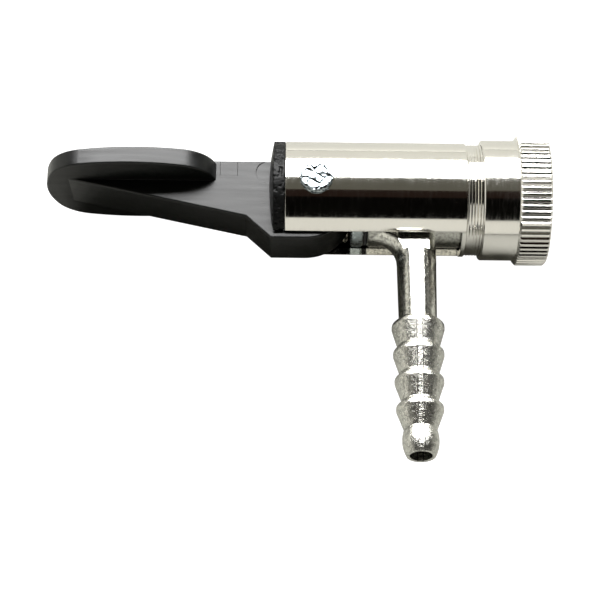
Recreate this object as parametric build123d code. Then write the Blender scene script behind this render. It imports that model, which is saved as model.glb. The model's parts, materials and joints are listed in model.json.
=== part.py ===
from build123d import *
import math
import os

# Lever-lock tyre valve connector with a hose tail. All sizes are in millimetres.
# +X runs along the tube towards the screw cap, -Y is the way the hose tail points,
# +Z is along the lever's pivot. The origin is the centre of the valve mouth,
# on the front face of the screw cap.

# Clearances
running_gap = 0.05       # radial, between parts that turn or slide in each other
fixed_gap = 0.03         # radial, between parts that are fastened together
face_gap = 0.05          # axial, between flat faces of neighbouring parts

# Screw cap
cap_wall = 2.2
valve_hole_r = 4.5
knurl_rise = 0.8         # of the knurl's crests above the collar
knurl_length = 5.2
knurl_pitch = 1.0
knurl_depth = 0.28
knurl_chamfer = 0.35
collar_wall = 0.7
collar_chamfer = 0.2
cap_length = 11.05

# Tube
tube_r = 9.5
tube_wall = 1.0
tube_length = 40.4
tube_chamfer = 0.15
thread_step = 0.2        # of the tube's wall below its outside, at the thread
thread_pitch = 0.5
thread_depth = 0.15
thread_runout = 2.55     # thread left showing behind the cap
slot_side_gap = 0.55     # each side of the lever
slot_end_gap = 1.2       # ahead of the stem when the lever is locked
rivet_from_rear = 5.18
rivet_offset = 0.42      # pivot below the tube's axis, towards the slot

# Front washer and clamping seal
washer_thickness = 0.8
washer_hole_step = 0.2   # washer's hole inside the valve hole
washer_rim_gap = 0.3
seal_length = 10.7
seal_hole_r = 3.95
seal_wall_gap = 0.2
seal_relief_length = 2.7
seal_relief_wall = 3.1   # wall left round the relief at the seal's rear

# Piston, its hose stem and barbs
piston_gap = 0.45        # radial, piston and thrust disc to the tube's bore
piston_edge_r = 0.6
stem_back = 8.15         # stem axis ahead of the piston's rear face
stem_top_r = 3.28
stem_low_r = 3.1
stem_length = 23.4       # tube axis to the start of the barbs
elbow_fillet_r = 4.6
flat_depth = 0.7
flat_drop = 3.1          # lower end of each flat below the piston
flat_corner_r = 1.2
air_bore_r = 1.8
barb_count = 4
barb_pitch = 4.85
barb_rise = 0.95         # from a valley to the next crest
barb_crest_land = 0.6
crest_blend_r = 0.4
valley_blend_r = 0.15
first_crest_r = 4.28
crest_step = 0.16
first_valley_r = 3.38
valley_step = 0.25
tip_ball_r = 2.87
tip_ball_length = 4.4
barb_lean = 8.5          # degrees that the stem leans to +Z in the slot at rest

# Check valve inside the piston
chamber_r = 3.6
seat_wall = 2.6
seat_hole_r = 1.5
seat_bush_wall = 1.5
plug_shoulder = 0.8
plug_length = 3.3
plug_recess = 0.1
plug_key_r = 1.5
plug_seal_thickness = 0.8
poppet_pin_r = 0.8
poppet_reach = 2.5       # pin beyond the piston's front face
poppet_side_gap = 0.9    # head to the chamber's wall
poppet_head_length = 1.3
poppet_seal_wire_r = 0.4
poppet_tail_length = 2.3
spring_r = 2.1
spring_wire_r = 0.22
spring_turns = 6

# Thrust disc and swivel washer
disc_thickness = 2.15
disc_edge_r = 0.5
swivel_washer_thickness = 0.42

# Lever: lengths run from the pivot, heights from the tube's axis
lever_thickness = 8.9
cam_rest = 5.75          # pivot to the cam's face when released
cam_throw = 2.92         # rise of that face over the quarter turn that locks it
cam_corner_r = 2.0
nose_gap = 0.78          # between the tube's bore and the nose as it swings past
heel_length = 7.45
web_root_length = 11.6
web_root_depth = 5.3
web_tip_length = 41.2
hub_wall = 1.7
hub_end_gap = 0.36       # hub's rim to the tube's bore
web_edge_r = 0.3
mark_depth = 0.12        # of the mould's marks on the web's +Z side
pin_mark_r = 1.98
pin_mark_back = 8.06     # behind the pivot
pin_mark_height = 2.7
insert_mark_back = 13.1
insert_mark_height = 2.0
pad_near = 16.0
pad_length = 29.2
pad_width = 21.8
pad_underside = 1.13
pad_root_thickness = 3.2
pad_tip_thickness = 2.75
pad_side_bulge = 1.72     # rise of each side's arc
pad_end_bulge = 3.15      # rise of each end's arc
pad_corner_r = 7.0
pad_rim_r = 0.25

# Rivet
rivet_r = 2.25
rivet_overhang = 0.6     # of each head past the shaft
rivet_head_height = 0.75

# End cap
end_cap_rim = 1.9
end_cap_dome = 1.0
spigot_wall = 1.2
spigot_hub_gap = 0.1     # between the spigot's end and the lever's hub
lever_stop_gap = 0.1

# Sizes that follow
bore_r = tube_r - tube_wall
thread_r = tube_r - thread_step
collar_r = thread_r + running_gap + collar_wall
knurl_r = collar_r + knurl_rise
piston_r = bore_r - piston_gap
slot_width = lever_thickness + 2 * slot_side_gap
seat_bush_r = seat_hole_r + seat_bush_wall
plug_r = chamber_r + plug_shoulder
poppet_head_r = chamber_r - poppet_side_gap
cam_locked = cam_rest + cam_throw
hub_r = rivet_r + running_gap + hub_wall
spigot_length = rivet_from_rear - hub_r - spigot_hub_gap
hub_half_length = math.sqrt(bore_r**2 - (hub_r + rivet_offset) ** 2) - hub_end_gap
nose_swing = math.sqrt(bore_r**2 - (lever_thickness / 2) ** 2) + rivet_offset - nose_gap
nose_rise = math.sqrt((nose_swing - cam_corner_r) ** 2 - (cam_rest - cam_corner_r) ** 2)
web_top = nose_rise + cam_corner_r - rivet_offset

# Places along the tube
washer_front = -cap_wall - face_gap
washer_rear = washer_front - washer_thickness
tube_front = washer_rear - 3 * face_gap
tube_rear = tube_front - tube_length
thread_rear = -cap_length - thread_runout
seal_front = washer_rear - face_gap
seal_rear = seal_front - seal_length
pivot_x = tube_rear + rivet_from_rear
pivot_y = -rivet_offset
disc_rear = pivot_x + cam_rest + face_gap
disc_front = disc_rear + disc_thickness
swivel_rear = disc_front + face_gap
swivel_front = swivel_rear + swivel_washer_thickness
piston_rear = swivel_front + face_gap
piston_front = seal_rear - face_gap
stem_x = piston_rear + stem_back
slot_front = stem_x + stem_top_r + cam_throw + slot_end_gap
seat_rear = piston_front - seat_wall
plug_rear = piston_rear + plug_recess
plug_front = plug_rear + plug_length
chamber_rear = plug_front + plug_seal_thickness
poppet_head_front = seat_rear - 2 * poppet_seal_wire_r
poppet_head_rear = poppet_head_front - poppet_head_length


def rod(x_low, x_high, radius):
    """A round bar along X."""
    return Pos((x_low + x_high) / 2, 0, 0) * Rot(0, 90, 0) * Cylinder(radius, x_high - x_low)


def ring(x_low, x_high, outer_r, inner_r):
    """A round sleeve along X."""
    return rod(x_low, x_high, outer_r) - rod(x_low, x_high, inner_r)


def block(x_low, x_high, y_low, y_high, width):
    """A box centred on Z = 0."""
    centre = Pos((x_low + x_high) / 2, (y_low + y_high) / 2, 0)
    return centre * Box(x_high - x_low, y_high - y_low, width)


def knurled_bar(x_low, x_high):
    """The grip: straight teeth round a bar, its two rims chamfered."""
    teeth = round(2 * math.pi * knurl_r / knurl_pitch)
    points = []
    for tooth in range(teeth):
        for share, radius in ((0, knurl_r - knurl_depth), (0.3, knurl_r), (0.7, knurl_r)):
            angle = 2 * math.pi * (tooth + share) / teeth
            points.append((radius * math.cos(angle), radius * math.sin(angle)))
    outline = make_face(Plane.YZ.offset(x_low) * Polyline(*points, close=True))
    blank = rod(x_low, x_high, knurl_r)
    rims = blank.edges().filter_by(GeomType.CIRCLE)
    return extrude(outline, x_high - x_low) & chamfer(rims, knurl_chamfer)


def make_union_cap():
    collar = rod(-cap_length, -knurl_length, collar_r)
    rear_rim = collar.edges().filter_by(GeomType.CIRCLE).sort_by(Axis.X)[0]
    cap = chamfer(rear_rim, collar_chamfer) + knurled_bar(-knurl_length, 0)
    cap -= rod(-cap_length, -cap_wall, thread_r + running_gap)
    return cap - rod(-cap_wall, 0, valve_hole_r)


def make_front_washer():
    outer_r = thread_r + running_gap - washer_rim_gap
    return ring(washer_rear, washer_front, outer_r, valve_hole_r - washer_hole_step)


def make_clamp_seal():
    """A rubber bush that grips the valve, with a wider rear end that clears the poppet."""
    outer_r = bore_r - seal_wall_gap
    relief = rod(seal_rear, seal_rear + seal_relief_length, outer_r - seal_relief_wall)
    return ring(seal_rear, seal_front, outer_r, seal_hole_r) - relief


def threaded_end():
    """The tube's front end, with its thread as a row of V-grooves."""
    turns = int((tube_front - thread_rear) / thread_pitch)
    points = [(thread_rear, 0), (thread_rear, thread_r)]
    for turn in range(turns):
        x = thread_rear + turn * thread_pitch
        points.append((x + thread_pitch / 2, thread_r - thread_depth))
        points.append((x + thread_pitch, thread_r))
    points += [(tube_front, thread_r), (tube_front, 0)]
    return revolve(make_face(Polyline(*points, close=True)), Axis.X)


def make_body_tube():
    blank = rod(tube_rear, thread_rear, tube_r)
    tube = chamfer(blank.edges().filter_by(GeomType.CIRCLE), tube_chamfer) + threaded_end()
    tube -= rod(tube_rear, tube_front, bore_r)
    tube -= block(tube_rear, slot_front, -tube_r, 0, slot_width)
    return tube - Pos(pivot_x, pivot_y, 0) * Cylinder(rivet_r + fixed_gap, 2 * tube_r)


def make_end_cap():
    """A domed plug in the tube's rear end, cut open from the slot side for the lever."""
    rim_x = tube_rear - end_cap_rim
    outline = Polyline((tube_rear, 0), (tube_rear, tube_r), (rim_x, tube_r))
    dome = ThreePointArc(
        (rim_x, tube_r), (rim_x - 0.75 * end_cap_dome, tube_r / 2), (rim_x - end_cap_dome, 0)
    )
    base = Line((rim_x - end_cap_dome, 0), (tube_rear, 0))
    cap = revolve(make_face(outline + dome + base), Axis.X)
    spigot_r = bore_r - fixed_gap
    cap += ring(tube_rear, tube_rear + spigot_length, spigot_r, spigot_r - spigot_wall)
    stop = web_top + lever_stop_gap
    return cap - block(tube_rear - 9, tube_rear + 9, -2 * tube_r, stop, slot_width)


def rivet_head():
    """One peened head, whose foot reaches a little below the tube's outside."""
    foot = 1
    head_r = rivet_r + rivet_overhang
    blank = Pos(0, 0, tube_r - foot) * Cylinder(
        head_r, foot + rivet_head_height, align=(Align.CENTER, Align.CENTER, Align.MIN)
    )
    return fillet(blank.edges().sort_by(Axis.Z)[-1], 0.8 * rivet_head_height)


def make_pivot_rivet():
    """A shaft through tube and lever with a peened dome at each end."""
    heads = Pos(pivot_x, pivot_y, 0) * (rivet_head() + rivet_head().mirror(Plane.XY))
    heads -= rod(tube_rear - 1, tube_front, tube_r)
    return heads + Pos(pivot_x, pivot_y, 0) * Cylinder(rivet_r, 2 * tube_r + rivet_head_height)


def make_thrust_disc():
    disc = rod(disc_rear, disc_front, piston_r)
    return fillet(disc.edges().filter_by(GeomType.CIRCLE), disc_edge_r)


def make_swivel_washer():
    return ring(swivel_rear, swivel_front, piston_r - washer_rim_gap, chamber_r)


def barb_outline():
    """Half section of the stem and its barbs, radius against distance from the tube's axis."""
    points = [(stem_top_r, 0), (stem_top_r, bore_r + 3), (stem_low_r, stem_length)]
    radii = [crest_blend_r, valley_blend_r]
    for barb in range(barb_count):
        crest = stem_length + barb_rise + barb * barb_pitch
        crest_r = first_crest_r - barb * crest_step
        points.append((crest_r, crest))
        points.append((crest_r, crest + barb_crest_land))
        points.append((first_valley_r - barb * valley_step, crest - barb_rise + barb_pitch))
        radii += [crest_blend_r, crest_blend_r, valley_blend_r]
    side = FilletPolyline(*points, radius=radii[:-1])
    start = stem_length + barb_count * barb_pitch
    ball_mid = (tip_ball_r, start + 0.6 * tip_ball_length)
    ball_end = (air_bore_r + 0.5, start + tip_ball_length)
    ball = ThreePointArc(points[-1], ball_mid, ball_end)
    return side + ball + Polyline(ball_end, (0, start + tip_ball_length), (0, 0), (stem_top_r, 0))


def elbow_bend():
    """A quarter of a ring that carries the stem's round section back into the piston."""
    bend_r = elbow_fillet_r + stem_top_r
    reach = bend_r + stem_top_r
    corner = (Align.MIN, Align.MIN, Align.CENTER)
    quarter = Torus(bend_r, stem_top_r) & Box(reach, reach, 2 * stem_top_r, align=corner)
    return Pos(-bend_r, -piston_r - elbow_fillet_r, 0) * quarter


def make_stem():
    """The stem along -Y, with the bend that joins it to the piston."""
    stem = revolve(make_face(barb_outline()), Axis.Y).mirror(Plane.XZ)
    return Pos(stem_x, 0, 0) * (stem + elbow_bend())


def stem_flats():
    """Two cuts that leave a flat on each side of the stem where it meets the piston."""
    low = -piston_r - flat_drop
    high = -0.75 * piston_r
    depth = 4
    middle = Pos(stem_x, (low + high) / 2, stem_top_r - flat_depth + depth / 2)
    cutter = Box(2 * stem_low_r, high - low, depth)
    lower_corners = cutter.edges().filter_by(Axis.Z).group_by(Axis.Y)[0]
    side = middle * fillet(lower_corners, flat_corner_r)
    return side + side.mirror(Plane.XY)


def make_piston_elbow():
    body = rod(piston_rear, piston_front, piston_r)
    body = fillet(body.edges().filter_by(GeomType.CIRCLE), piston_edge_r)
    body = body + make_stem() - stem_flats()
    body -= rod(chamber_rear, seat_rear, chamber_r)
    body -= rod(piston_rear, chamber_rear, plug_r + fixed_gap)
    body -= rod(seat_rear, piston_front, seat_bush_r + fixed_gap)
    bore = Pos(stem_x, 0, 0) * Rot(90, 0, 0) * Cylinder(
        air_bore_r, 3 * stem_length, align=(Align.CENTER, Align.CENTER, Align.MIN)
    )
    return (body - bore).rotate(Axis.X, -barb_lean)


def make_seat_bush():
    return ring(seat_rear, piston_front, seat_bush_r, seat_hole_r)


def make_rear_plug():
    """Closes the check valve's chamber; a blind socket takes the driver."""
    plug = rod(plug_rear, plug_front, plug_r)
    key = extrude(Plane.YZ.offset(plug_rear) * RegularPolygon(plug_key_r, 6), plug_length / 2)
    return plug - key


def make_plug_seal():
    inner_r = spring_r + spring_wire_r + 4 * face_gap
    return ring(plug_front, chamber_rear, plug_r - fixed_gap, inner_r)


def make_poppet():
    pin = rod(poppet_head_front, piston_front + poppet_reach, poppet_pin_r)
    head = rod(poppet_head_rear, poppet_head_front, poppet_head_r)
    tail = rod(poppet_head_rear - poppet_tail_length, poppet_head_rear, spring_r - 2 * spring_wire_r)
    return pin + head + tail


def make_poppet_seal():
    """A round ring on the pin, squeezed between the poppet's head and the seat."""
    mean_r = seat_hole_r + poppet_seal_wire_r
    x_mid = (poppet_head_front + seat_rear) / 2
    return Pos(x_mid, 0, 0) * Rot(0, 90, 0) * Torus(mean_r, poppet_seal_wire_r)


def make_poppet_spring():
    """A helical spring between the plug and the back of the poppet's head."""
    low = plug_front + spring_wire_r + face_gap
    high = poppet_head_rear - spring_wire_r - face_gap
    path = Helix((high - low) / spring_turns, high - low, spring_r)
    section = Plane(origin=path @ 0, z_dir=path % 0) * Circle(spring_wire_r)
    coil = sweep(section, path=path, is_frenet=True)
    return Pos(low, 0, 0) * Rot(0, 90, 0) * coil


def cam_point(angle):
    """A point of the cam that moves the disc in step with the lever's angle."""
    rise = cam_throw / (math.pi / 2)
    reach = cam_rest + rise * angle
    x = reach * math.cos(angle) - rise * math.sin(angle)
    y = -reach * math.sin(angle) - rise * math.cos(angle)
    return (x, y)


def cam_arcs():
    """The cam's face as arcs through its points, from released to locked."""
    arcs = Curve()
    steps = 6
    for step in range(steps):
        ends = [(step + share) * math.pi / 2 / steps for share in (0, 0.5, 1)]
        arcs += ThreePointArc(*[cam_point(angle) for angle in ends])
    return arcs


def web_profile():
    """Side view of the lever's web and cam about the pivot."""
    top = web_top - pivot_y
    start = (cam_rest, top - cam_corner_r)
    heel = (-heel_length, -cam_locked)
    root = (-web_root_length, -web_root_depth - pivot_y)
    pad_low = pad_underside - pivot_y
    tip = (-web_tip_length, pad_low)
    inside_tip = (-web_tip_length, pad_low + pad_tip_thickness / 2)
    inside_root = (-pad_near - 5, pad_low + pad_root_thickness - 0.3)
    corner = (cam_rest - cam_corner_r, top)
    lower = Polyline(cam_point(math.pi / 2), heel, root, tip, inside_tip, inside_root)
    upper = Polyline(inside_root, (-pad_near - 2, top), corner)
    centre_shift = cam_corner_r * math.sqrt(0.5)
    arc_mid = (start[0] - cam_corner_r + centre_shift, start[1] + centre_shift)
    nose = ThreePointArc(corner, arc_mid, start) + Line(start, cam_point(0))
    return make_face(nose + cam_arcs() + lower + upper)


def pad_plan():
    """Top view of the thumb pad: four arcs with rounded corners."""
    half_length = pad_length / 2
    half_width = pad_width / 2
    corner_x = half_length - pad_end_bulge
    corner_y = half_width - pad_side_bulge
    side = ThreePointArc((-corner_x, corner_y), (0, half_width), (corner_x, corner_y))
    end = ThreePointArc((corner_x, corner_y), (half_length, 0), (corner_x, -corner_y))
    plan = make_face(side + end + side.mirror(Plane.XZ) + end.mirror(Plane.YZ))
    return fillet(plan.vertices(), pad_corner_r)


def make_pad():
    """The plan seen from above, cut to a side view that thins towards the tip."""
    low = pad_underside - pivot_y
    far = -pad_near - pad_length
    side = make_face(
        Polyline(
            (far, low),
            (-pad_near, low),
            (-pad_near, low + pad_root_thickness),
            (far, low + pad_tip_thickness),
            close=True,
        )
    )
    slab = extrude(side, pad_width, both=True)
    plan = Pos(-pad_near - pad_length / 2, low - 1, 0) * Rot(-90, 0, 0) * pad_plan()
    pad = slab & extrude(plan, pad_root_thickness + 2, dir=(0, 1, 0))
    by_height = pad.faces().sort_by(Axis.Y)
    return fillet(by_height[0].edges() + by_height[-1].edges(), pad_rim_r)


def mould_marks():
    """Cutters for a round pin mark and a square insert mark on the web's +Z side."""
    low_z = lever_thickness / 2 - mark_depth
    pin = Pos(-pin_mark_back, pin_mark_height - pivot_y, low_z) * Cylinder(
        pin_mark_r, 1, align=(Align.CENTER, Align.CENTER, Align.MIN)
    )
    insert = Pos(-insert_mark_back, insert_mark_height - pivot_y, low_z) * Box(
        pad_near - insert_mark_back, tube_r, 1, align=(Align.MAX, Align.MIN, Align.MIN)
    )
    return pin + insert


def make_lever():
    web = extrude(web_profile(), lever_thickness / 2, both=True)
    sides = web.faces().filter_by(Axis.Z)
    web = fillet(sides.edges(), web_edge_r) - mould_marks()
    hub = Cylinder(hub_r, 2 * hub_half_length)
    lever = web + make_pad() + hub - Cylinder(rivet_r + running_gap, 2 * tube_r)
    return Pos(pivot_x, pivot_y, 0) * lever


nodes = {
    "body_tube": make_body_tube,
    "end_cap": make_end_cap,
    "pivot_rivet": make_pivot_rivet,
    "clamp_seal": make_clamp_seal,
    "front_washer": make_front_washer,
    "union_cap": make_union_cap,
    "thrust_disc": make_thrust_disc,
    "swivel_washer": make_swivel_washer,
    "piston_elbow": make_piston_elbow,
    "seat_bush": make_seat_bush,
    "rear_plug": make_rear_plug,
    "plug_seal": make_plug_seal,
    "poppet": make_poppet,
    "poppet_seal": make_poppet_seal,
    "poppet_spring": make_poppet_spring,
    "lever": make_lever,
}

os.makedirs("parts", exist_ok=True)
for name, make in nodes.items():
    export_step(make(), f"parts/{name}.step")
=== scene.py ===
import json
import math

import bpy
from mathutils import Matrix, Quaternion, Vector, noise


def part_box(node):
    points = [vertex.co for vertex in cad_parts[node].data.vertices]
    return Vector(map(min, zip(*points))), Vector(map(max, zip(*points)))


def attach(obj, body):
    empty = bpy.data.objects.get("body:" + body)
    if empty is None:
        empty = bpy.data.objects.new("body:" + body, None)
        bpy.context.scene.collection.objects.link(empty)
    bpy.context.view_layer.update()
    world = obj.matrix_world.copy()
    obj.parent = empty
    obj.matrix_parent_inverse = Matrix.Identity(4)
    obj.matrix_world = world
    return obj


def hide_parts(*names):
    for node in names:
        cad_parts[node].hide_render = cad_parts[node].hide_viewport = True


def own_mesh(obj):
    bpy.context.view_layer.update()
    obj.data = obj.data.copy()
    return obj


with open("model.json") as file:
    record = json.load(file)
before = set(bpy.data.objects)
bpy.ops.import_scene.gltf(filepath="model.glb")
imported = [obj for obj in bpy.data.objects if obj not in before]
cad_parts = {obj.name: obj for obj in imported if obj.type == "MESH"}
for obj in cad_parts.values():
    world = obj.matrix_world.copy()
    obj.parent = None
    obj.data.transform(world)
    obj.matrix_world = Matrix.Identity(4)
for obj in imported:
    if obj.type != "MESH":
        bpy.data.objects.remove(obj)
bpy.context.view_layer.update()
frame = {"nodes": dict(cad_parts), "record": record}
nodes = frame["nodes"]
MM = 0.001


# ---------------------------------------------------------------- materials


def set_span(map_range, *numbers):
    """Sets a Map Range node's four ends: from low and high, then to low and high."""
    for socket, number in zip(("From Min", "From Max", "To Min", "To Max"), numbers):
        map_range.inputs[socket].default_value = number


class Shader:
    """A material's node tree, with short calls for the nodes that these finishes use."""

    def __init__(self, name, **sockets):
        self.material = bpy.data.materials.new(name)
        self.material.use_nodes = True
        self.tree = self.material.node_tree
        self.surface = self.tree.nodes["Principled BSDF"]
        for socket, value in sockets.items():
            self.surface.inputs[socket.replace("_", " ")].default_value = value
        self.place = self.tree.nodes.new("ShaderNodeTexCoord").outputs["Object"]

    def link(self, source, target):
        self.tree.links.new(source, target)

    def noise(self, stretch, detail=3.0, roughness=0.5):
        """Noise whose grains per metre along X, Y and Z are given by stretch."""
        mapping = self.tree.nodes.new("ShaderNodeMapping")
        mapping.inputs["Scale"].default_value = stretch
        self.link(self.place, mapping.inputs["Vector"])
        noise = self.tree.nodes.new("ShaderNodeTexNoise")
        noise.inputs["Scale"].default_value = 1.0
        noise.inputs["Detail"].default_value = detail
        noise.inputs["Roughness"].default_value = roughness
        self.link(mapping.outputs["Vector"], noise.inputs["Vector"])
        return noise.outputs["Fac"]

    def span(self, value, low, high, to_low, to_high):
        """value from low..high carried to to_low..to_high, and held there outside it."""
        node = self.tree.nodes.new("ShaderNodeMapRange")
        self.link(value, node.inputs["Value"])
        set_span(node, low, high, to_low, to_high)
        return node.outputs["Result"]

    def math(self, operation, *values):
        node = self.tree.nodes.new("ShaderNodeMath")
        node.operation = operation
        for socket, value in zip(node.inputs, values):
            if isinstance(value, (int, float)):
                socket.default_value = value
            else:
                self.link(value, socket)
        return node.outputs["Value"]

    def axis(self, letter):
        """The object's own X, Y or Z, in metres."""
        node = self.tree.nodes.new("ShaderNodeSeparateXYZ")
        self.link(self.place, node.inputs["Vector"])
        return node.outputs[letter]

    def mix(self, share, low_colour, high_colour):
        node = self.tree.nodes.new("ShaderNodeMix")
        node.data_type = "RGBA"
        self.link(share, node.inputs["Factor"])
        for socket, colour in (("A", low_colour), ("B", high_colour)):
            target = next(s for s in node.inputs if s.name == socket and s.type == "RGBA")
            if isinstance(colour, tuple):
                target.default_value = (*colour, 1.0)
            else:
                self.link(colour, target)
        return next(s for s in node.outputs if s.type == "RGBA")

    def bump(self, height, distance, strength=1.0, under=None):
        node = self.tree.nodes.new("ShaderNodeBump")
        node.inputs["Distance"].default_value = distance
        node.inputs["Strength"].default_value = strength
        self.link(height, node.inputs["Height"])
        if under is not None:
            self.link(under, node.inputs["Normal"])
        return node.outputs["Normal"]

    def soft_edges(self, radius):
        node = self.tree.nodes.new("ShaderNodeBevel")
        node.samples = 6
        node.inputs["Radius"].default_value = radius
        return node.outputs["Normal"]

    def colour(self, source):
        self.link(source, self.surface.inputs["Base Color"])

    def gloss(self, source):
        self.link(source, self.surface.inputs["Roughness"])

    def normal(self, source):
        self.link(source, self.surface.inputs["Normal"])


def turned_plate(name, tone, roughness, groove=2.2e-6, pits=4.0e-6):
    """Bright plate over metal turned about X: fine rings, faint pits, uneven gloss."""
    shader = Shader(name, Metallic=1.0)
    rings = shader.noise((5200, 90, 90), detail=4.0, roughness=0.6)
    streaks = shader.noise((3800, 420, 420), detail=5.0, roughness=0.7)
    grain = shader.noise((2600, 1500, 1500), detail=4.0, roughness=0.65)
    clouds = shader.noise((70, 160, 160), detail=2.0)
    light = tuple(min(1.0, 1.05 * c) for c in tone)
    shader.colour(shader.mix(shader.span(clouds, 0.35, 0.65, 0, 1), tone, light))
    shader.gloss(shader.span(streaks, 0.42, 0.66, roughness * 0.75, roughness * 1.7))
    ringed = shader.bump(rings, groove, under=shader.soft_edges(0.12 * MM))
    shader.normal(shader.bump(grain, pits, 0.6, under=ringed))
    return shader.material


def cast_plate(name, tone, roughness, pit_depth=1.6e-5):
    """Plate over a casting: pits and a slightly wavy skin."""
    shader = Shader(name, Metallic=1.0)
    pits = shader.noise((1900, 1900, 1900), detail=6.0, roughness=0.72)
    waves = shader.noise((420, 260, 420), detail=3.0)
    blots = shader.noise((900, 700, 900), detail=3.0)
    dark = tuple(0.62 * c for c in tone)
    shader.colour(shader.mix(shader.span(pits, 0.36, 0.6, 0, 1), dark, tone))
    shader.gloss(shader.span(blots, 0.3, 0.7, roughness * 1.25, roughness * 0.75))
    skin = shader.bump(waves, 7.0e-5, 0.5, under=shader.soft_edges(0.15 * MM))
    shader.normal(shader.bump(pits, pit_depth, 0.8, under=skin))
    return shader.material


STEM_X = -21.8 * MM
SEAM_HALF = 0.45 * MM     # half the width of the filed strip
BARB_EXTRA_ROUGHNESS = 0.09


def cast_stem_plate(name, tone, roughness):
    """Plate over the stem's casting: fine on the stem, coarse on the barbs, filed along the mould's seam,
    with painted shade along the filed strip's edges on the barbs.
    """
    shader = Shader(name, Metallic=1.0)
    aside = shader.math("ABSOLUTE", shader.math("SUBTRACT", shader.axis("X"), STEM_X))
    barbs = shader.span(shader.axis("Y"), -24.4 * MM, -23.6 * MM, 1, 0)
    below = shader.span(shader.axis("Y"), -13.2 * MM, -12.6 * MM, 1, 0)
    pits = shader.noise((2100, 1700, 2100), detail=6.0, roughness=0.75)
    waves = shader.noise((420, 260, 420), detail=3.0)
    files = shader.noise((1100, 2300, 900), detail=5.0, roughness=0.65)
    # Painted shade: a dark hairline along each edge of the filed strip on the barbs, where the strip steps
    # down into the cast skin.
    from_edge = shader.math("ABSOLUTE", shader.math("SUBTRACT", aside, SEAM_HALF))
    off_line = shader.span(from_edge, 0.03 * MM, 0.1 * MM, 0, 1)
    painted_seam_shade = shader.math("MULTIPLY", shader.math("SUBTRACT", 1.0, off_line), barbs)
    dark = tuple(0.5 * c for c in tone)
    grained = shader.mix(shader.span(pits, 0.4, 0.56, 0, 1), dark, tone)
    shader.colour(shader.mix(painted_seam_shade, grained, tuple(0.2 * c for c in tone)))
    stem_gloss = shader.span(files, 0.3, 0.7, roughness * 1.3, roughness * 0.7)
    shader.gloss(shader.math("MULTIPLY_ADD", barbs, BARB_EXTRA_ROUGHNESS, stem_gloss))
    strip = shader.math("MULTIPLY", shader.span(aside, SEAM_HALF, SEAM_HALF + 0.08 * MM, 1, 0), below)
    filed = shader.math("MULTIPLY", shader.math("MULTIPLY", strip, barbs), files)
    skin = shader.bump(waves, 6.0e-5, 0.5, under=shader.soft_edges(0.12 * MM))
    skin = shader.bump(strip, 1.5e-5, 0.8, under=skin)
    skin = shader.bump(filed, 9.0e-5, 1.0, under=skin)
    coarse = shader.math("MULTIPLY", pits, shader.span(barbs, 0, 1, 0.22, 1.0))
    shader.normal(shader.bump(coarse, 7.5e-5, 1.0, under=skin))
    return shader.material


def moulded_nylon(name, tone, roughness, sheen):
    """Black nylon with the faint grain and sheen of a mould's skin."""
    shader = Shader(name, Specular_IOR_Level=sheen)
    grain = shader.noise((3000, 3000, 3000), detail=3.0)
    clouds = shader.noise((220, 220, 220), detail=3.0)
    scuffs = shader.noise((90, 1300, 700), detail=4.0)
    pale = tuple(2.2 * c for c in tone)
    shader.colour(shader.mix(shader.span(clouds, 0.3, 0.7, 0, 1), tone, pale))
    shader.gloss(shader.span(scuffs, 0.3, 0.7, roughness * 0.85, roughness * 1.2))
    shader.normal(shader.bump(grain, 6.0e-6, 0.7, under=shader.soft_edges(0.15 * MM)))
    return shader.material


def soft_rubber(name, tone):
    shader = Shader(name, Roughness=0.75)
    grain = shader.noise((1800, 1800, 1800), detail=4.0)
    shader.colour(shader.mix(shader.span(grain, 0.3, 0.7, 0, 1), tone, tuple(1.7 * c for c in tone)))
    shader.normal(shader.bump(grain, 1.2e-5, 0.5))
    return shader.material


NICKEL = (0.83, 0.81, 0.765)
finishes = {
    "nickel_plated_tube": turned_plate("tube_plate", NICKEL, 0.085),
    "nickel_plated_cap": turned_plate("cap_plate", NICKEL, 0.11),
    "cast_nickel": cast_stem_plate("cast_plate", (0.8, 0.79, 0.73), 0.15),
    "zinc_rivet": cast_plate("rivet_zinc", (0.5, 0.56, 0.59), 0.2),
    "zinc_disc": cast_plate("disc_zinc", (0.55, 0.61, 0.62), 0.3),
    "black_plastic_lever": moulded_nylon("lever_nylon", (0.0016, 0.0018, 0.0017), 0.33, 0.42),
    "black_plastic_cap": moulded_nylon("end_cap_nylon", (0.002, 0.0021, 0.0021), 0.4, 0.14),
    "rubber": soft_rubber("seal_rubber", (0.012, 0.012, 0.012)),
    "fibre": soft_rubber("washer_fibre", (0.02, 0.02, 0.02)),
    "brass": turned_plate("brass_turned", (0.78, 0.6, 0.3), 0.25),
    "spring_steel": cast_plate("spring_wire", (0.55, 0.55, 0.55), 0.3),
}


def dress_cad_nodes():
    """Every CAD node takes the finish of its record slot."""
    for entry in frame["record"]["subparts"]:
        mesh = nodes[entry["node"]].data
        mesh.materials.clear()
        mesh.materials.append(finishes[entry["material_slot"]])


# ---------------------------------------------------------------- pieces


def new_piece(name, mesh, body, slot, *replaced):
    """A piece in the row frame that rides on a body and stands for CAD nodes."""
    piece = bpy.data.objects.new(name, mesh)
    bpy.context.scene.collection.objects.link(piece)
    for polygon in mesh.polygons:
        polygon.use_smooth = True
    mesh.materials.clear()
    mesh.materials.append(finishes[slot])
    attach(piece, body)
    if replaced:
        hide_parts(*replaced)
    return piece


def fine_mesh(node, voxel):
    """A copy of a CAD node's mesh in the row frame, rebuilt from small even faces."""
    copy = bpy.data.objects.new("fine", nodes[node].data.copy())
    copy.data.transform(nodes[node].matrix_world)
    bpy.context.scene.collection.objects.link(copy)
    remesh = copy.modifiers.new("even", "REMESH")
    remesh.mode, remesh.voxel_size = "VOXEL", voxel
    seen = copy.evaluated_get(bpy.context.evaluated_depsgraph_get())
    mesh = bpy.data.meshes.new_from_object(seen)
    bpy.data.objects.remove(copy)
    return mesh


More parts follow.
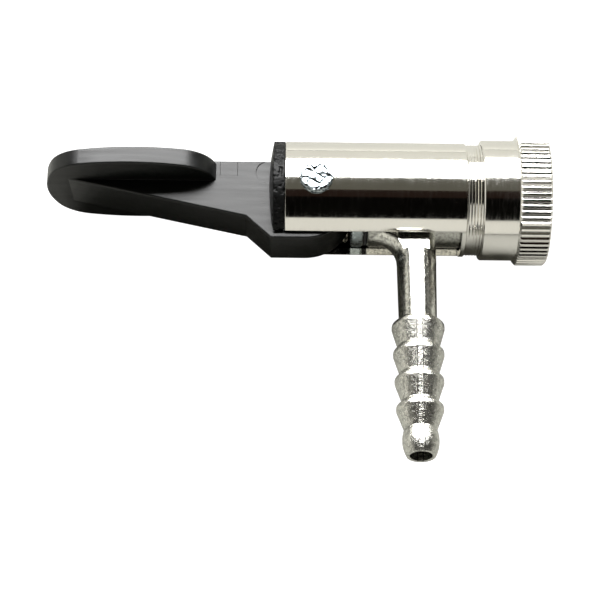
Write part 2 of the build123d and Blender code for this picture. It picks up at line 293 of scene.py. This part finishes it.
def sink(mesh, depth):
    """Moves each vertex inwards by depth(place)."""
    moves = [depth(v.co) * v.normal for v in mesh.vertices]
    for vertex, move in zip(mesh.vertices, moves):
        vertex.co -= move


def fade(value, low, high):
    """0 up to low, 1 from high on, and a smooth rise between them."""
    share = min(1.0, max(0.0, (value - low) / (high - low)))
    return share * share * (3 - 2 * share)


RIVET_FACE = 8.6 * MM     # the heads begin at this height
CRACK_DEPTH = 0.16 * MM
BLOW_DEPTH = 0.26 * MM
DENT_DEPTH = 0.05 * MM


def hammered(place):
    """Flat blows and the cracks between them on the rivet's two heads."""
    head = fade(abs(place.z), RIVET_FACE, RIVET_FACE + 0.4 * MM)
    gaps = noise.voronoi(place * 620 + Vector((3.1, 0.4, 0.0)))[0]
    crack = 1 - fade(gaps[1] - gaps[0], 0.02, 0.22)
    blow = 0.5 + 0.5 * noise.noise(place * 900)
    dents = noise.noise(place * 2300)
    return head * (CRACK_DEPTH * crack * (0.4 + blow) + BLOW_DEPTH * blow + DENT_DEPTH * (1 + dents))


TEAR_DEPTH = 0.34 * MM
SKIN_DEPTH = 0.07 * MM


def ragged(place):
    """Torn flash round the end cap's rim, and a skin that isn't quite even."""
    rim = fade(math.hypot(place.y, place.z), 8.2 * MM, 9.4 * MM)
    torn = max(0.0, noise.noise(place * 1500) + 0.4 * noise.noise(place * 4100))
    even = 0.5 + 0.5 * noise.noise(place * 380)
    return TEAR_DEPTH * torn * rim + SKIN_DEPTH * even


def make_rivet():
    """The rivet with its two heads hammered over."""
    mesh = fine_mesh("pivot_rivet", 0.1 * MM)
    sink(mesh, hammered)
    new_piece("hammered_rivet", mesh, "tube", "zinc_rivet", "pivot_rivet")


def make_end_cap():
    """The black end cap with its torn rim."""
    mesh = fine_mesh("end_cap", 0.12 * MM)
    sink(mesh, ragged)
    new_piece("ragged_end_cap", mesh, "tube", "black_plastic_cap", "end_cap")


def lathe(name, outline, turns=96):
    """A closed outline of (x, radius) turned about the X axis."""
    points, faces, count = [], [], len(outline)
    for turn in range(turns):
        angle = 2 * math.pi * turn / turns
        points += [(x * MM, r * MM * math.cos(angle), r * MM * math.sin(angle)) for x, r in outline]
        after = (turn + 1) % turns
        for k in range(count):
            k_next = (k + 1) % count
            near, far = turn * count, after * count
            faces.append((near + k, near + k_next, far + k_next, far + k))
    mesh = bpy.data.meshes.new(name)
    mesh.from_pydata(points, [], faces)
    mesh.validate()
    return mesh


# The rubber bush, in millimetres: places along X, radii, and (x, radius) corners of its bore.
SEAL_FRONT, SEAL_REAR = -3.1, -13.8
SEAL_RADIUS = 8.28
SEAL_RIM_ROUND = 0.35
SEAL_WAIST = 0.18
SEAL_BORE = (
    (SEAL_REAR, 5.25),
    (-11.2, 5.25),
    (-11.0, 4.1),
    (-10.8, 3.98),
    (-3.5, 3.98),
    (-3.2, 4.1),
    (SEAL_FRONT, 4.3),
)


def make_seal():
    """The rubber bush, slightly waisted outside and rounded at its rims."""
    outline = []
    steps = 40
    for step in range(steps + 1):
        share = step / steps
        rim = SEAL_RIM_ROUND * (1 - fade(min(share, 1 - share), 0.0, 0.05))
        waist = SEAL_WAIST * math.sin(math.pi * share) ** 2
        outline.append((SEAL_FRONT + (SEAL_REAR - SEAL_FRONT) * share, SEAL_RADIUS - rim - waist))
    outline += SEAL_BORE
    piece = new_piece("soft_seal", lathe("soft_seal", outline), "tube", "rubber", "clamp_seal")
    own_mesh(piece)


# The poppet's spring, in millimetres: the ends of its wire's middle line.
SPRING_REAR, SPRING_FRONT = -26.28, -18.82
SPRING_TURNS = 6.0
CLOSING = 0.035           # share of the length that the end turns give up


def make_spring():
    """The coil, with its end turns closed up."""
    wire_r, coil_r, around, steps = 0.2, 2.1, 10, 36
    total = int(SPRING_TURNS * steps)
    points, faces = [], []
    for step in range(total + 1):
        share = step / total
        closed = share - CLOSING * math.sin(2 * math.pi * share)
        angle = 2 * math.pi * SPRING_TURNS * share
        x = SPRING_REAR + (SPRING_FRONT - SPRING_REAR) * closed
        for k in range(around):
            turn = 2 * math.pi * k / around
            radius = coil_r + wire_r * math.cos(turn)
            place = (x + wire_r * math.sin(turn), radius * math.cos(angle), radius * math.sin(angle))
            points.append([c * MM for c in place])
    for step in range(total):
        near, far = step * around, (step + 1) * around
        for k in range(around):
            k_next = (k + 1) % around
            faces.append((near + k, near + k_next, far + k_next, far + k))
    faces += [tuple(range(around)), tuple(range(total * around, total * around + around))]
    mesh = bpy.data.meshes.new("coil")
    mesh.from_pydata(points, [], faces)
    mesh.validate()
    piece = new_piece("coil", mesh, "piston", "spring_steel", "poppet_spring")
    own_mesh(piece)


# ---------------------------------------------------------------- studio


VIEW_ELEVATION = 69.0     # degrees above the floor, seen from the hose side
VIEW_ROLL = 0.65          # degrees
VIEW_DISTANCE = 0.3034
VIEW_TARGET = (-40.9 * MM, -15.93 * MM, -6.11 * MM)
LENS = 108.3


def make_camera():
    """The camera, above the object and on the side that the hose tail points to."""
    camera = bpy.data.objects.new("camera", bpy.data.cameras.new("camera"))
    bpy.context.scene.collection.objects.link(camera)
    elevation = math.radians(VIEW_ELEVATION)
    back = Vector((0, -math.cos(elevation), math.sin(elevation)))
    camera.location = Vector(VIEW_TARGET) + back * VIEW_DISTANCE
    camera.rotation_mode = "QUATERNION"
    roll = Quaternion((0, 0, 1), math.radians(VIEW_ROLL))
    camera.rotation_quaternion = (-back).to_track_quat("-Z", "Y") @ roll
    camera.data.lens = LENS
    camera.data.sensor_width = 36.0
    camera.data.clip_start, camera.data.clip_end = 0.01, 20.0
    bpy.context.scene.camera = camera


def panel_at(azimuth, elevation, distance):
    """Place and turn of a panel that faces the object from a direction, in degrees."""
    a, e = math.radians(azimuth), math.radians(elevation)
    away = Vector((math.sin(a) * math.cos(e), -math.cos(a) * math.cos(e), math.sin(e)))
    return Vector(VIEW_TARGET) + away * distance, away.to_track_quat("Z", "Y")


def softbox(name, azimuth, elevation, distance, width, height, radiance, tint=(1, 1, 1)):
    """A rectangular lamp whose face has the given radiance, where white paper in it is 1."""
    light = bpy.data.lights.new(name, "AREA")
    light.shape = "RECTANGLE"
    light.size, light.size_y = width, height
    light.energy = radiance * math.pi * width * height
    light.color = tint
    lamp = bpy.data.objects.new(name, light)
    lamp.rotation_mode = "QUATERNION"
    lamp.location, lamp.rotation_quaternion = panel_at(azimuth, elevation, distance)
    lamp.visible_camera = False
    bpy.context.scene.collection.objects.link(lamp)


def floor_plane(name, height):
    """A wide flat plane that isn't part of the object."""
    bpy.ops.mesh.primitive_plane_add(size=6, location=(0, 0, height))
    plane = bpy.context.object
    plane.name = name
    return plane


def make_floor():
    """A floor that glows white for the camera alone, over the duller one that the metal mirrors."""
    low = min(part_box(name)[0].z for name in nodes)
    shown = floor_plane("floor", low)
    shader = Shader("floor_paper", Roughness=1.0, Specular_IOR_Level=0.0, Emission_Strength=1.05)
    shader.surface.inputs["Emission Color"].default_value = (1.0, 1.0, 1.0, 1.0)
    shader.colour(shader.mix(shader.noise((30, 30, 30)), (0.16, 0.16, 0.16), (0.15, 0.15, 0.15)))
    shown.data.materials.append(shader.material)
    shown.visible_diffuse = shown.visible_glossy = shown.visible_shadow = False
    mirrored = floor_plane("floor_mirrored", low - 0.1 * MM)
    shader = Shader("floor_bounce", Roughness=1.0, Specular_IOR_Level=0.0)
    shader.colour(shader.mix(shader.noise((9, 9, 9)), (0.29, 0.29, 0.265), (0.26, 0.26, 0.24)))
    mirrored.data.materials.append(shader.material)
    mirrored.visible_camera = False


BAND_TOP = 26.0           # degrees above the horizon
BAND_TONE = (0.80, 0.79, 0.72)
CEILING_TONE = (0.0015, 0.0013, 0.001)


def make_world():
    """A pale band round the horizon under a dark ceiling, dimmer towards +X."""
    world = bpy.data.worlds.new("studio")
    bpy.context.scene.world = world
    world.use_nodes = True
    tree = world.node_tree
    split = tree.nodes.new("ShaderNodeSeparateXYZ")
    tree.links.new(tree.nodes.new("ShaderNodeTexCoord").outputs["Generated"], split.inputs["Vector"])
    ramp = tree.nodes.new("ShaderNodeValToRGB")
    tree.links.new(split.outputs["Z"], ramp.inputs["Fac"])
    stops = ramp.color_ramp.elements
    stops[0].position, stops[0].color = math.sin(math.radians(BAND_TOP)), (*BAND_TONE, 1.0)
    stops[1].position, stops[1].color = math.sin(math.radians(BAND_TOP + 2)), (*CEILING_TONE, 1.0)
    aside = tree.nodes.new("ShaderNodeMapRange")
    tree.links.new(split.outputs["X"], aside.inputs["Value"])
    set_span(aside, 0.3, 0.75, 1.0, 0.25)
    tree.links.new(ramp.outputs["Color"], tree.nodes["Background"].inputs["Color"])
    tree.links.new(aside.outputs["Result"], tree.nodes["Background"].inputs["Strength"])


def make_studio():
    make_world()
    make_floor()
    softbox("back_softbox", 180, 47.5, distance=0.8, width=1.0, height=0.58, radiance=15.0)
    ceiling = {"distance": 0.9, "width": 1.8}
    softbox("lit_ceiling", 180, 81, **ceiling, height=0.44, radiance=0.1, tint=(1.0, 0.97, 0.78))
    softbox("ceiling_rim", 0, 79, **ceiling, height=0.24, radiance=0.014, tint=(1.0, 0.55, 0.4))
    bpy.context.scene.view_settings.view_transform = "Standard"


dress_cad_nodes()
make_rivet()
make_end_cap()
make_seal()
make_spring()
make_camera()
make_studio()
